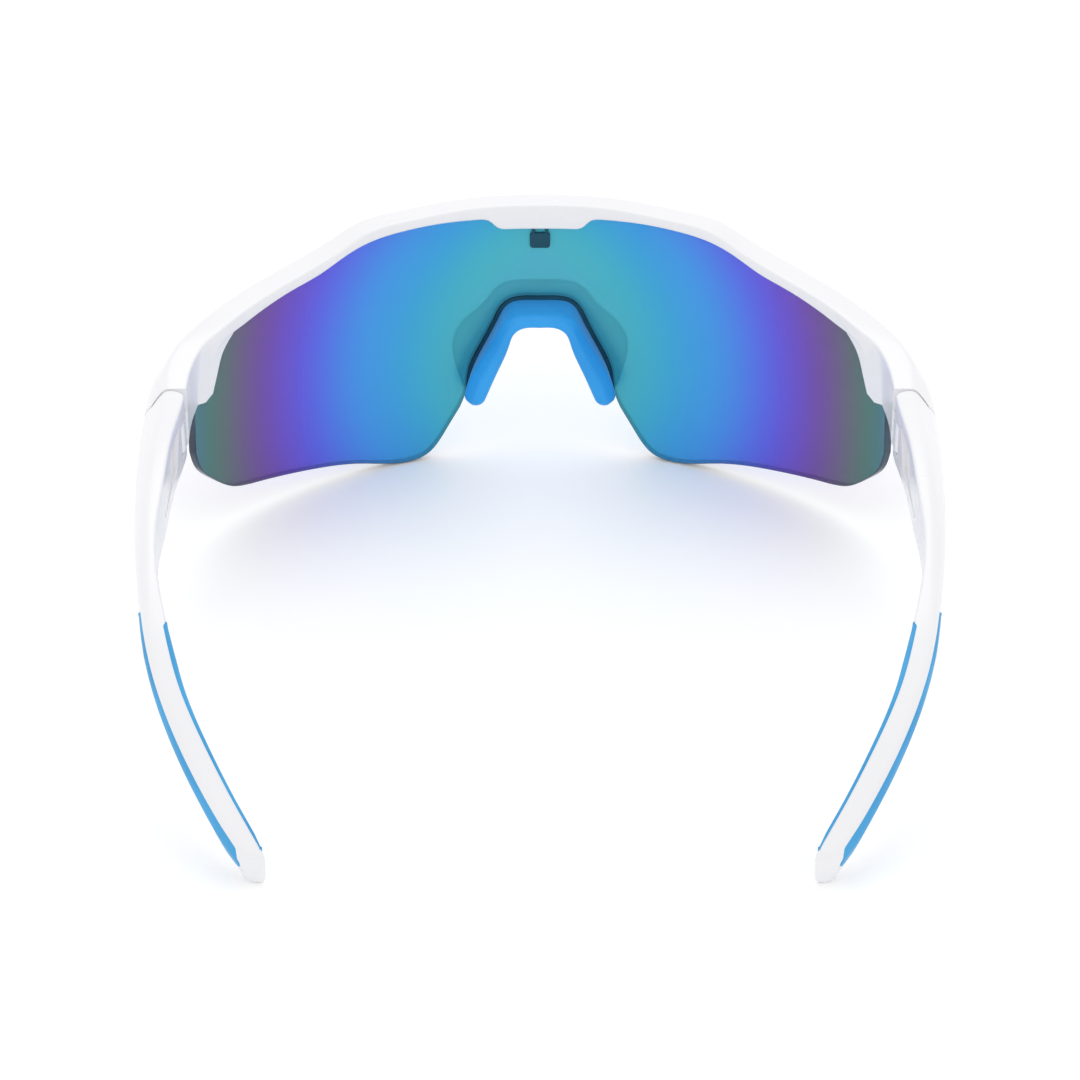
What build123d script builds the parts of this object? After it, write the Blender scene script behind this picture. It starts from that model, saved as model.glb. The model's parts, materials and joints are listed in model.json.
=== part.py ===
"""Wraparound sport sunglasses with a one-piece shield lens, built piece by piece.

The glasses stand upright on the lens's lower edge and the two temple tips. +Z is up,
the outer face of the lens looks along -Y, and X = 0 is the plane of symmetry. The
origin is on the ground under the middle of the glasses. All sizes are millimetres.
"""

import os
from math import cos, radians, sin, tan

from build123d import *

# --- Lens cylinder: everything on the front is laid out on it ---
LENS_RADIUS = 80.0  # outer face of the lens
LENS_THICK = 1.8
LENS_TILT = 7.0  # degrees; the top leans forward
APEX_Y = -69.2  # foremost line of the lens, at its lowest height
LENS_LIFT = 0.76  # brings the lowest point of the lens edge down to Z = 0
PRISM_NEAR = 25.0  # radial prisms run between these distances from the axis
PRISM_FAR = 95.0
CLEAR = 20.0  # cutting shapes reach at least this far past what they cut
FULL_HEIGHT = 60.0

# --- Frame: a brow bar round the lens, with a claw at each end ---
BROW_FRONT = 2.5  # how far the bar stands out in front of the lens
BROW_DEPTH = 6.0  # radial depth of the bar
FRAME_END_Y = -23.0  # rear end of the frame outboard of the hinge barrel

# --- Hinge, given for the left side (+X) ---
HINGE_X = 69.7
HINGE_Y = -21.3
BARREL_RADIUS = 3.4  # round front end of the temple
SEAT_GAP = 0.25  # air between barrel and seat, and at the open stop
TONGUE_RADIUS = 3.1
TONGUE_LOW = 28.0
TONGUE_HIGH = 34.0
TONGUE_ROOT = 5.4  # from the screw's axis forward into the frame
SLOT_GAP = 0.3  # air round the tongue in the temple's fork
SCREW_RADIUS = 0.70
SCREW_CLEARANCE = 0.05  # running fit in the tongue
SCREW_HEAD_RADIUS = 1.3
SCREW_HEAD_LOW = 25.6
SCREW_HEAD_HIGH = 26.5
SCREW_TOP = 36.9
SCREW_HEAD_CHAMFER = 0.2
DRIVE_LENGTH = 1.95  # cross drive in the head
DRIVE_WIDTH = 0.35
DRIVE_DEPTH = 0.4
INSERT_RADIUS = 1.4
INSERT_LOW = 34.8
INSERT_HIGH = 37.3

# --- Nose piece ---
FLANGE_THICK = 1.0
LINING_DEPTH = 4.6  # how far the carrier's rim passes back through the lens notch
PAD_FRONT = 79.6  # distances of the pad's two end outlines from the lens axis
PAD_BACK = 69.5

# --- Lens clip ---
CLIP_THICK = 1.0
CLIP_WIDTH = 4.1
CLIP_CORNER = 0.6
CLIP_LOW = 43.2
CLIP_HIGH = 46.5
PRONG_TOP = 49.0
PRONG_WIDTH = 0.7
PRONG_SPACING = 2.1

# --- Outlines on the lens cylinder: (degrees round from the middle, height) ---
# "Across" outlines start at the middle and are mirrored; the rest are for one side.
BROW_TOP = [(0, 52.7), (10, 52.4), (20, 51.0), (26.2, 49.6), (29.2, 47.7),
            (32.5, 45.9), (39, 43.3), (48, 40.3), (56, 37.2)]
BROW_END = [(56, 37.2), (60.5, 34.2)]
CLAW_OUTER = [(60.5, 34.2), (60.5, 25.4)]
CLAW_FOOT = [(60.5, 25.4), (55.9, 24.5)]
CLAW_TOE = [(55.9, 24.5), (54.2, 25.6)]
CLAW_INNER = [(54.2, 25.6), (53.0, 29.5), (51.9, 32.8), (49.5, 36.1)]
BROW_UNDER = [(49.5, 36.1), (44.7, 38.5), (38, 41.1), (33.6, 42.8), (30, 45.0),
              (26, 47.1), (20.4, 48.5), (14, 49.3), (8.6, 49.5)]
TAB_RAMP = [(8.6, 49.5), (5.2, 47.3)]
TAB_UNDER = [(0, 47.3), (5.2, 47.3)]

LENS_TOP = [(0, 50.8), (10, 50.7), (20, 49.6), (26, 48.1), (29.2, 46.3),
            (32.5, 44.5), (39, 42.1), (46, 39.6)]
LENS_SHOULDER = [(46, 39.6), (58, 34.0)]
LENS_SIDE = [(58, 34.0), (58, 14.5)]
LENS_CORNER = [(58, 14.5), (56.9, 10.9), (53.5, 7.0), (49.7, 3.7), (46, 2.6)]
LENS_LOWER = [(46, 2.6), (36, 1.4), (27, 0.0), (20.6, -1.35), (16.8, -0.2),
              (13.9, 4.6), (11.8, 9.3)]
NOTCH_SIDE = [(11.8, 9.3), (10.9, 12.5), (10.4, 17.4), (8.1, 24.1), (6.1, 29.7)]
NOTCH_TOP = [(0, 33.2), (3.4, 33.1), (5.2, 32.0), (6.1, 29.7)]

FLANGE_TOP = [(0, 35.3), (4.6, 35.3)]
FLANGE_SIDE = [(4.6, 35.3), (6.4, 33.7), (7.9, 30.9), (11.0, 27.3), (12.5, 24.0),
               (12.7, 20.4), (11.9, 16.9), (10.8, 14.5)]
FLANGE_FOOT = [(10.8, 14.5), (10.8, 13.2)]
RIM_FOOT = [(10.8, 13.2), (10.25, 13.2)]
RIM_OUTER = [(6.1, 29.7), (8.1, 24.1), (10.4, 17.4), (10.8, 13.2)]
RIM_SIDE = [(10.25, 13.2), (9.85, 17.2), (7.6, 23.9), (5.6, 29.4)]
RIM_TOP = [(0, 32.5), (3.2, 32.4), (4.7, 31.4), (5.6, 29.4)]

# --- Nose pad outlines at its front and back: (sideways, height) ---
PAD_FRONT_OUTER = [(0, 32.4), (4.3, 32.3), (6.5, 31.2), (7.7, 29.2), (10.5, 23.6),
                   (13.5, 17.0), (13.9, 13.4)]
PAD_FRONT_INNER = [(0, 29.6), (3.2, 29.3), (4.8, 28.1), (5.6, 26.2), (8.0, 20.6),
                   (10.0, 15.9), (11.3, 12.6)]
PAD_BACK_OUTER = [(0, 32.0), (4.9, 31.7), (7.1, 30.3), (8.6, 27.6), (11.8, 21.6),
                  (14.6, 16.4), (15.0, 13.4)]
PAD_BACK_INNER = [(0, 29.0), (3.6, 28.7), (5.2, 27.4), (6.1, 25.0), (8.3, 19.6),
                  (10.0, 15.6), (11.3, 12.0)]

# --- Frame end block: (y, inner x, top outer x, belly x, top z, bottom z) ---
END_BLOCK = [(-35.2, 64.6, 69.8, 71.8, 41.0, 30.2),
             (-29.2, 66.0, 70.6, 73.8, 39.8, 27.9),
             (-21.2, 66.4, 70.4, 74.5, 38.5, 25.2)]

# --- Temple, left side: (y, inner x, top outer x, belly x, top z, bottom z) ---
TEMPLE = [(-25.2, 66.5, 70.3, 74.4, 38.6, 25.3),
          (-21.2, 66.7, 70.3, 74.5, 38.5, 25.2),
          (-9.2, 67.9, 71.0, 74.5, 38.0, 25.2),
          (5.8, 68.5, 71.3, 74.0, 36.2, 24.9),
          (16.8, 68.9, 71.0, 73.3, 34.2, 25.0),
          (26.8, 68.1, 70.3, 72.2, 31.7, 24.1),
          (39.3, 65.4, 69.3, 70.2, 27.5, 19.9),
          (49.7, 62.5, 66.6, 67.4, 22.9, 15.5),
          (59.9, 57.8, 62.2, 63.0, 17.3, 10.2),
          (70.1, 51.7, 56.2, 57.0, 10.8, 4.5),
          (74.8, 48.5, 52.7, 53.6, 7.6, 1.2),
          (78.1, 46.3, 49.7, 50.7, 5.2, -1.0)]
BELLY_SHARE = 0.3  # the widest line lies this far down the side
FOOT_INSET = 1.6  # outer lower edge, inboard of the widest line
TIP_ROUNDING = 1.3

# --- Pocket in the temple's inner face, closed by a cover let into it: (y, z) ---
POCKET = [(-16.4, 35.9), (5.1, 34.0), (5.1, 28.6), (-12.4, 28.0)]
POCKET_ROUNDING = 1.0
POCKET_FLOOR_X = 69.7
COVER_THICK = 1.3
COVER_GAP = 0.2
COVER_CHAMFER = 0.25

# --- Rubber grips let into the temple's two sides ---
GRIP_PROUD = 0.35
GRIP_BEDDED = 1.1
OUTER_GRIP_Y = (34.6, 43.1, 53.6, 64.6, 76.2)
INNER_GRIP_Y = (38.6, 49.6, 60.1, 70.1, 76.2)
GRIP_UPPER_SHARE = 0.16  # upper edge of the outer grip, as a share of the height
GRIP_LOWER_SHARE = 0.72  # lower edges of both
GRIP_TUCK = 0.9  # the outer grip leans in by this at its lower edge
GRIP_SLOPE = 0.6  # how far each long edge slopes in from the bed to the proud face
GRIP_LAP = 0.9  # the inner grip laps over the temple's top edge by this much
GRIP_LAP_DEPTH = 1.0


# --- Planes of the lens cylinder ---
tilt = radians(LENS_TILT)
lens_axis = Vector(0, -sin(tilt), cos(tilt))
lens_inward = Vector(0, cos(tilt), sin(tilt))
lens_centre = Vector(0, APEX_Y, LENS_LIFT) + lens_inward * LENS_RADIUS
axis_plane = Plane(origin=lens_centre, x_dir=(1, 0, 0), z_dir=lens_axis)


def facing_plane(distance):
    """The plane that faces forward at this distance in front of the lens axis."""
    origin = lens_centre - lens_inward * distance
    return Plane(origin=origin, x_dir=(1, 0, 0), z_dir=-lens_inward)


def on_facing(points, distance):
    """Points (degrees, height) as seen from the lens axis on a facing plane."""
    return [(distance * tan(radians(angle)), height) for angle, height in points]


def mirrored(points):
    """The same stretch of outline on the other side of the middle."""
    return [(-x, height) for x, height in reversed(points)]


def whole(points):
    """A stretch that starts at the middle, made into one that runs across it."""
    return mirrored(points[1:]) + points


def pace(points):
    """How far along a stretch each of its points lies, from 0 to 1."""
    places = [Vector(LENS_RADIUS * radians(angle), height) for angle, height in points]
    steps = [(b - a).length for a, b in zip(places, places[1:])]
    return [sum(steps[:count]) / sum(steps) for count in range(len(points))]


def draw(points, parameters=None):
    """One stretch of outline: a line, or a smooth curve through its points."""
    if len(points) == 2:
        Line(*points)
    else:
        add(Edge.make_spline([Vector(*point) for point in points], parameters=parameters))


def radial_prism(across, sides):
    """A solid with this outline, whose walls run along radii of the lens cylinder."""
    stretches = [whole(points) for points in across]
    stretches += sides + [mirrored(points) for points in sides]
    with BuildPart() as prism:
        for distance in (PRISM_NEAR, PRISM_FAR):
            with BuildSketch(facing_plane(distance)):
                with BuildLine():
                    for points in stretches:
                        draw(on_facing(points, distance), pace(points))
                make_face()
        loft(ruled=True)
    return prism.part


def shell(inner, outer):
    """A tube round the lens axis, taller than the glasses."""
    with BuildPart() as tube:
        with BuildSketch(axis_plane.offset(-CLEAR)):
            Circle(outer)
            Circle(inner, mode=Mode.SUBTRACT)
        extrude(amount=FULL_HEIGHT + 2 * CLEAR)
    return tube.part


def section(y, inner, outer, belly, top, bottom):
    """One cross-section of the temple or of the frame end, in the plane of this y."""
    belly_z = top - BELLY_SHARE * (top - bottom)
    corners = [(inner, top), (outer, top), (belly, belly_z), (belly - FOOT_INSET, bottom),
               (inner, bottom)]
    with BuildSketch(Plane.XZ.offset(-y)) as outline:
        with BuildLine():
            Polyline(*corners, close=True)
        make_face()
    return outline.sketch


def station(y):
    """Sizes of the temple's cross-section at any y, between the listed ones."""
    for low, high in zip(TEMPLE, TEMPLE[1:]):
        if low[0] <= y <= high[0]:
            share = (y - low[0]) / (high[0] - low[0])
            return [a + share * (b - a) for a, b in zip(low, high)]
    raise ValueError(f"no temple at y = {y}")


# --- Lens ---
with BuildPart() as lens:
    add(shell(LENS_RADIUS - LENS_THICK, LENS_RADIUS))
    add(
        radial_prism(
            [LENS_TOP, NOTCH_TOP],
            [LENS_SHOULDER, LENS_SIDE, LENS_CORNER, LENS_LOWER, NOTCH_SIDE],
        ),
        mode=Mode.INTERSECT,
    )

# --- Lens clip: a small plate on the inner face with two prongs up into the frame ---
with BuildPart() as lens_clip:
    with BuildSketch(facing_plane(LENS_RADIUS)):
        with Locations((0, (CLIP_LOW + CLIP_HIGH) / 2)):
            RectangleRounded(CLIP_WIDTH, CLIP_HIGH - CLIP_LOW, CLIP_CORNER)
        with Locations((0, CLIP_HIGH)):
            with GridLocations(PRONG_SPACING, 0, 2, 1):
                Rectangle(PRONG_WIDTH, 2 * (PRONG_TOP - CLIP_HIGH))
    extrude(amount=-2 * CLIP_THICK - LENS_THICK)
    add(
        shell(LENS_RADIUS - LENS_THICK - CLIP_THICK, LENS_RADIUS - LENS_THICK),
        mode=Mode.INTERSECT,
    )

# --- Left hinge screw and threaded insert ---
with BuildPart() as left_hinge_screw:
    with BuildSketch(Plane.XY.offset(SCREW_HEAD_LOW)):
        with Locations((HINGE_X, HINGE_Y)):
            Circle(SCREW_HEAD_RADIUS)
    extrude(amount=SCREW_HEAD_HIGH - SCREW_HEAD_LOW)
    chamfer(left_hinge_screw.faces().sort_by(Axis.Z)[0].edges(), SCREW_HEAD_CHAMFER)
    with BuildSketch(Plane.XY.offset(SCREW_HEAD_HIGH)):
        with Locations((HINGE_X, HINGE_Y)):
            Circle(SCREW_RADIUS)
    extrude(amount=SCREW_TOP - SCREW_HEAD_HIGH)
    with BuildSketch(Plane.XY.offset(SCREW_HEAD_LOW)):
        with Locations((HINGE_X, HINGE_Y)):
            Rectangle(DRIVE_WIDTH, DRIVE_LENGTH)
            Rectangle(DRIVE_LENGTH, DRIVE_WIDTH)
    extrude(amount=DRIVE_DEPTH, mode=Mode.SUBTRACT)

with BuildPart() as left_hinge_insert:
    with BuildSketch(Plane.XY.offset(INSERT_LOW)):
        with Locations((HINGE_X, HINGE_Y)):
            Circle(INSERT_RADIUS)
            Circle(SCREW_RADIUS, mode=Mode.SUBTRACT)
    extrude(amount=INSERT_HIGH - INSERT_LOW)

# --- Left end of the frame: block, seat for the temple's barrel, and hinge tongue ---
with BuildPart() as frame_end:
    loft([section(*sizes) for sizes in END_BLOCK])
    with BuildSketch(Plane.XY):
        with Locations((HINGE_X, HINGE_Y)):
            Circle(BARREL_RADIUS + SEAT_GAP)
        with Locations((HINGE_X, HINGE_Y - BARREL_RADIUS - SEAT_GAP)):
            Rectangle(CLEAR, CLEAR, align=(Align.MAX, Align.MIN))
        with Locations((HINGE_X, FRAME_END_Y)):
            Rectangle(CLEAR, CLEAR, align=(Align.MIN, Align.MIN))
    extrude(amount=FULL_HEIGHT, mode=Mode.SUBTRACT)
    with BuildSketch(Plane.XY.offset(TONGUE_LOW)):
        with Locations((HINGE_X, HINGE_Y)):
            Circle(TONGUE_RADIUS)
            Rectangle(2 * TONGUE_RADIUS, TONGUE_ROOT, align=(Align.CENTER, Align.MAX))
    extrude(amount=TONGUE_HIGH - TONGUE_LOW)
    with BuildSketch(Plane.XY.offset(TONGUE_LOW)):
        with Locations((HINGE_X, HINGE_Y)):
            Circle(SCREW_RADIUS + SCREW_CLEARANCE)
    extrude(amount=TONGUE_HIGH - TONGUE_LOW, mode=Mode.SUBTRACT)

# --- Frame ---
with BuildPart() as frame:
    add(shell(LENS_RADIUS + BROW_FRONT - BROW_DEPTH, LENS_RADIUS + BROW_FRONT))
    add(
        radial_prism(
            [BROW_TOP, TAB_UNDER],
            [BROW_END, CLAW_OUTER, CLAW_FOOT, CLAW_TOE, CLAW_INNER, BROW_UNDER, TAB_RAMP],
        ),
        mode=Mode.INTERSECT,
    )
    add(frame_end.part)
    mirror(frame_end.part, about=Plane.YZ)
    add(lens.part, mode=Mode.SUBTRACT)
    add(lens_clip.part, mode=Mode.SUBTRACT)

# --- Nose carrier: a flange on the lens's outer face and a rim through its notch ---
with BuildPart() as flange:
    add(shell(LENS_RADIUS, LENS_RADIUS + FLANGE_THICK))
    add(
        radial_prism([FLANGE_TOP, RIM_TOP], [FLANGE_SIDE, FLANGE_FOOT, RIM_FOOT, RIM_SIDE]),
        mode=Mode.INTERSECT,
    )

with BuildPart() as nose_carrier:
    add(shell(LENS_RADIUS + FLANGE_THICK - LINING_DEPTH, LENS_RADIUS + FLANGE_THICK))
    add(
        radial_prism([NOTCH_TOP, RIM_TOP], [RIM_OUTER, RIM_FOOT, RIM_SIDE]),
        mode=Mode.INTERSECT,
    )
    add(flange.part)
    add(lens.part, mode=Mode.SUBTRACT)

# --- Nose pad ---
with BuildPart() as nose_pad:
    pad_ends = ((PAD_FRONT, PAD_FRONT_OUTER, PAD_FRONT_INNER),
                (PAD_BACK, PAD_BACK_OUTER, PAD_BACK_INNER))
    for distance, outer, inner in pad_ends:
        with BuildSketch(facing_plane(distance)):
            with BuildLine():
                draw(whole(outer))
                draw(whole(inner))
                draw([outer[-1], inner[-1]])
                draw(mirrored([outer[-1], inner[-1]]))
            make_face()
    loft(ruled=True)
    add(nose_carrier.part, mode=Mode.SUBTRACT)

# --- Left grips ---
def outer_grip_corners(y):
    """Section of the strip along the temple's widest line."""
    _, _, _, belly, top, bottom = station(y)
    upper = top - GRIP_UPPER_SHARE * (top - bottom)
    lower = top - GRIP_LOWER_SHARE * (top - bottom)
    return [(belly + GRIP_PROUD, upper - GRIP_SLOPE),
            (belly - GRIP_BEDDED, upper),
            (belly - GRIP_BEDDED - GRIP_TUCK, lower),
            (belly + GRIP_PROUD - GRIP_TUCK, lower + GRIP_SLOPE)]


def inner_grip_corners(y):
    """Section of the strip on the inner face, which laps over the top edge."""
    _, inner, _, _, top, bottom = station(y)
    lower = top - GRIP_LOWER_SHARE * (top - bottom)
    return [(inner + GRIP_LAP, top + GRIP_PROUD / 2),
            (inner - GRIP_PROUD, top + GRIP_PROUD / 2),
            (inner - GRIP_PROUD, lower + GRIP_SLOPE),
            (inner + GRIP_BEDDED, lower),
            (inner + GRIP_BEDDED, top - GRIP_LAP_DEPTH)]


def make_grip(places, corners_at):
    """A rubber strip along the temple, lofted through its sections at these places."""
    with BuildPart() as grip:
        for y in places:
            with BuildSketch(Plane.XZ.offset(-y)):
                with BuildLine():
                    Polyline(*corners_at(y), close=True)
                make_face()
        loft()
    return grip


left_outer_grip = make_grip(OUTER_GRIP_Y, outer_grip_corners)
left_inner_grip = make_grip(INNER_GRIP_Y, inner_grip_corners)

# --- Left hinge cover, and the pocket that it lies in ---
with BuildPart() as pocket:
    with BuildSketch(Plane.YZ.offset(POCKET_FLOOR_X)) as pocket_outline:
        with BuildLine():
            Polyline(*POCKET, close=True)
        make_face()
        fillet(pocket_outline.vertices(), POCKET_ROUNDING)
    extrude(amount=-CLEAR)

with BuildPart() as left_hinge_cover:
    with BuildSketch(Plane.YZ.offset(POCKET_FLOOR_X)):
        add(pocket_outline.sketch_local)
        offset(amount=-COVER_GAP)
    extrude(amount=-COVER_THICK)
    chamfer(left_hinge_cover.faces().sort_by(Axis.X)[0].edges(), COVER_CHAMFER)

# --- Left temple ---
with BuildPart() as left_temple:
    loft([section(*sizes) for sizes in TEMPLE])
    fillet(left_temple.faces().sort_by(Axis.Y)[-1].edges(), TIP_ROUNDING)
    with BuildSketch(Plane.XY):
        with Locations((HINGE_X, HINGE_Y)):
            Rectangle(CLEAR, CLEAR, align=(Align.CENTER, Align.MAX))
            Circle(BARREL_RADIUS, mode=Mode.SUBTRACT)
            Rectangle(
                CLEAR,
                HINGE_Y - FRAME_END_Y - SEAT_GAP,
                align=(Align.MIN, Align.MAX),
                mode=Mode.SUBTRACT,
            )
    extrude(amount=FULL_HEIGHT, mode=Mode.SUBTRACT)
    with BuildSketch(Plane.XY.offset(TONGUE_LOW - SLOT_GAP)):
        with Locations((HINGE_X, HINGE_Y)):
            Circle(BARREL_RADIUS)
            Rectangle(CLEAR, CLEAR, align=(Align.MAX, Align.MAX))
            Rectangle(BARREL_RADIUS, CLEAR, align=(Align.MIN, Align.MAX))
            Rectangle(CLEAR, BARREL_RADIUS, align=(Align.MAX, Align.MIN))
    extrude(amount=TONGUE_HIGH - TONGUE_LOW + 2 * SLOT_GAP, mode=Mode.SUBTRACT)
    with BuildSketch(Plane.XY):
        with Locations((HINGE_X, HINGE_Y)):
            Circle(SCREW_HEAD_RADIUS)
    extrude(amount=SCREW_HEAD_HIGH, mode=Mode.SUBTRACT)
    with BuildSketch(Plane.XY):
        with Locations((HINGE_X, HINGE_Y)):
            Circle(SCREW_RADIUS)
    extrude(amount=SCREW_TOP, mode=Mode.SUBTRACT)
    add(pocket.part, mode=Mode.SUBTRACT)
    add(left_hinge_insert.part, mode=Mode.SUBTRACT)
    add(left_outer_grip.part, mode=Mode.SUBTRACT)
    add(left_inner_grip.part, mode=Mode.SUBTRACT)

# --- Write one STEP per piece, the right side as the left one's mirror image ---
pieces = {
    "frame": frame.part,
    "lens": lens.part,
    "lens_clip": lens_clip.part,
    "nose_carrier": nose_carrier.part,
    "nose_pad": nose_pad.part,
}
left_pieces = {
    "temple": left_temple.part,
    "outer_grip": left_outer_grip.part,
    "inner_grip": left_inner_grip.part,
    "hinge_screw": left_hinge_screw.part,
    "hinge_insert": left_hinge_insert.part,
    "hinge_cover": left_hinge_cover.part,
}
for name, part in left_pieces.items():
    pieces[f"left_{name}"] = part
    pieces[f"right_{name}"] = mirror(part, about=Plane.YZ)

os.makedirs("parts", exist_ok=True)
for name, part in pieces.items():
    part.label = name
    export_step(part, f"parts/{name}.step")
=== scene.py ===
"""Wraparound sport sunglasses standing open on a pale studio floor, seen from behind.

Lengths are millimetres in the row frame until a mesh is written, where MM turns them
into metres. The left side is +X.
"""

import json
from math import cos, pi, radians, sin

import bmesh
import bpy
import numpy as np
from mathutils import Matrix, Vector


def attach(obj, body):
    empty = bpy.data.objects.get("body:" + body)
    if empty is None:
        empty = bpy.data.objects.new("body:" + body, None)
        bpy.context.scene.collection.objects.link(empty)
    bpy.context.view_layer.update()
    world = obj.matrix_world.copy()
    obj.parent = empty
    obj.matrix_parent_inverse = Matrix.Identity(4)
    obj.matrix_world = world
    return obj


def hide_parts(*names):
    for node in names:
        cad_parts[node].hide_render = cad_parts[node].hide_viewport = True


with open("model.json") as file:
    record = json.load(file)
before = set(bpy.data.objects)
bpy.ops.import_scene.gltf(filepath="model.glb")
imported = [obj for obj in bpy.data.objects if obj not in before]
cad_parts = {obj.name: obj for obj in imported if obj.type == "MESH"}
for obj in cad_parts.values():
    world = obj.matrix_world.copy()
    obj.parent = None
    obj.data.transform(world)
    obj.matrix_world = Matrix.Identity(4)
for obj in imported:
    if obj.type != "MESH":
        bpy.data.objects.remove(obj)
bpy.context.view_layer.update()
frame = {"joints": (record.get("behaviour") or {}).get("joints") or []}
SIDES = {"left": 1, "right": -1}
MM = 0.001

# ---------------------------------------------------------------- driving sizes
LENS_RADIUS = 80.0
LENS_THICK = 1.8
LENS_TILT = radians(7)
APEX_Y = -69.2
LENS_LIFT = 0.76
BROW_FRONT = 2.5
BROW_BACK = 3.5
HINGE_X, HINGE_Y, _ = (place / MM for place in frame["joints"][0]["pos_m"])
BARREL_RADIUS = 3.4
SEAT_GAP = 0.25
SEAM_GAP = 0.12  # between the frame's end and the temple, outboard of the hinge
FRAME_END_Y = -23.0
STEP_LAP = 0.1  # the cut inboard of the hinge reaches this far past its middle
TONGUE_RADIUS = 3.1
TONGUE_LOW, TONGUE_HIGH = 28.0, 34.0
TONGUE_ROOT = 5.4
SLOT_GAP = 0.3
SCREW_HOLE = 0.75
SCREW_HEAD_RADIUS = 1.35
SCREW_HEAD_HIGH = 26.5
SCREW_TOP = 37.0
CUT_HIGH = 60.0  # cutting tools are taller, wider and longer than the part
CUT_WIDE = 20.0
CUT_FRONT = -60.0

AXIS = np.array([0, -sin(LENS_TILT), cos(LENS_TILT)])
INWARD = np.array([0, cos(LENS_TILT), sin(LENS_TILT)])
CENTRE = np.array([0, APEX_Y, LENS_LIFT]) + LENS_RADIUS * INWARD


def on_lens(angle, height, radius):
    """The point this many degrees round the lens cylinder, at this height and radius."""
    angle = np.radians(np.asarray(angle, dtype=float))
    height = np.asarray(height, dtype=float) * np.ones_like(angle)
    radius = np.asarray(radius, dtype=float) * np.ones_like(angle)
    side = np.array([1.0, 0, 0])
    across = (radius * np.sin(angle))[..., None] * side
    forward = (radius * np.cos(angle))[..., None] * INWARD
    return CENTRE + across - forward + height[..., None] * AXIS


def axis_distance(face):
    """How far a face's middle is from the lens cylinder's axis."""
    offset = np.array(face.center) / MM - CENTRE
    return np.linalg.norm(offset - (offset @ AXIS) * AXIS)


# ---------------------------------------------------------------- curves
def spline(points, places):
    """Natural cubic curve through points, read at places from 0 to 1 along its chords."""
    points = np.asarray(points, dtype=float)
    steps = np.linalg.norm(np.diff(points, axis=0), axis=1)
    knots = np.concatenate([[0], np.cumsum(steps)]) / steps.sum()
    gaps = np.diff(knots)[:, None]
    count = len(points)
    system = np.eye(count)
    right = np.zeros_like(points)
    for i in range(1, count - 1):
        system[i, i - 1 : i + 2] = gaps[i - 1, 0], 2 * (gaps[i - 1, 0] + gaps[i, 0]), gaps[i, 0]
        rise = (points[i + 1] - points[i]) / gaps[i] - (points[i] - points[i - 1]) / gaps[i - 1]
        right[i] = 6 * rise
    bend = np.linalg.solve(system, right)
    places = np.asarray(places, dtype=float)
    span = np.clip(np.searchsorted(knots, places) - 1, 0, count - 2)
    gap = gaps[span]
    after = (places - knots[span])[:, None]
    before = gap - after
    return (
        (bend[span] * before**3 + bend[span + 1] * after**3) / (6 * gap)
        + (points[span] / gap - bend[span] * gap / 6) * before
        + (points[span + 1] / gap - bend[span + 1] * gap / 6) * after
    )


def stretch(points, step):
    """Evenly spaced points along a line or a smooth curve, about step apart.

    A curve that starts on the middle line is level there.
    """
    points = np.asarray(points, dtype=float)
    length = np.linalg.norm(np.diff(points, axis=0), axis=1).sum()
    count = max(2, int(round(length / step)) + 1)
    places = np.linspace(0, 1, count)
    if len(points) == 2:
        return points[0] + places[:, None] * (points[1] - points[0])
    if points[0, 0] == 0:
        return spline(across(points), 0.5 + places / 2)
    return spline(points, places)


def outline(stretches, step):
    """Stretches joined end to end, without doubled points."""
    parts = [stretch(points, step) for points in stretches]
    return np.concatenate([parts[0]] + [part[1:] for part in parts[1:]])


def in_mm(points):
    """(degrees, height) with the first number turned into millimetres along the lens."""
    points = np.array(points, dtype=float)
    points[:, 0] = np.radians(points[:, 0]) * LENS_RADIUS
    return points


def in_degrees(points):
    points = np.array(points, dtype=float)
    points[:, 0] = np.degrees(points[:, 0] / LENS_RADIUS)
    return points


def across(points):
    """An outline that starts at the middle, carried on to the other side."""
    points = np.asarray(points, dtype=float)
    return np.concatenate([points[:0:-1] * [-1, 1], points])


# ---------------------------------------------------------------- meshes
SHARP_ANGLE = radians(32)


def new_mesh(name, points, faces):
    mesh = bpy.data.meshes.new(name)
    mesh.from_pydata([tuple(point) for point in np.asarray(points) * MM], [], faces)
    mesh.validate()
    mesh.update()
    piece = bpy.data.objects.new(name, mesh)
    bpy.context.collection.objects.link(piece)
    return piece


def recalculate(piece):
    """Turns every face outward."""
    work = bmesh.new()
    work.from_mesh(piece.data)
    bmesh.ops.remove_doubles(work, verts=work.verts, dist=1e-7)
    bmesh.ops.recalc_face_normals(work, faces=work.faces)
    work.to_mesh(piece.data)
    work.free()


def smooth(piece, angle=SHARP_ANGLE):
    piece.data.shade_smooth()
    piece.data.set_sharp_from_angle(angle=angle)


def apply_modifiers(piece):
    graph = bpy.context.evaluated_depsgraph_get()
    mesh = bpy.data.meshes.new_from_object(piece.evaluated_get(graph))
    piece.modifiers.clear()
    piece.data = mesh


def combine(piece, tool, operation):
    """Joins a tool's solid to the piece, or cuts it out, and deletes the tool."""
    boolean = piece.modifiers.new("cut", "BOOLEAN")
    boolean.operation = operation
    boolean.object = tool
    boolean.solver = "EXACT"
    bpy.context.view_layer.update()
    apply_modifiers(piece)
    bpy.data.objects.remove(tool)


def strip(rows):
    """Quads between neighbouring rows of vertex numbers; every row closes on itself."""
    faces = []
    for row, following in zip(rows, rows[1:]):
        count = len(row)
        for i in range(count):
            j = (i + 1) % count
            faces.append((row[i], row[j], following[j], following[i]))
    return faces


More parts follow.
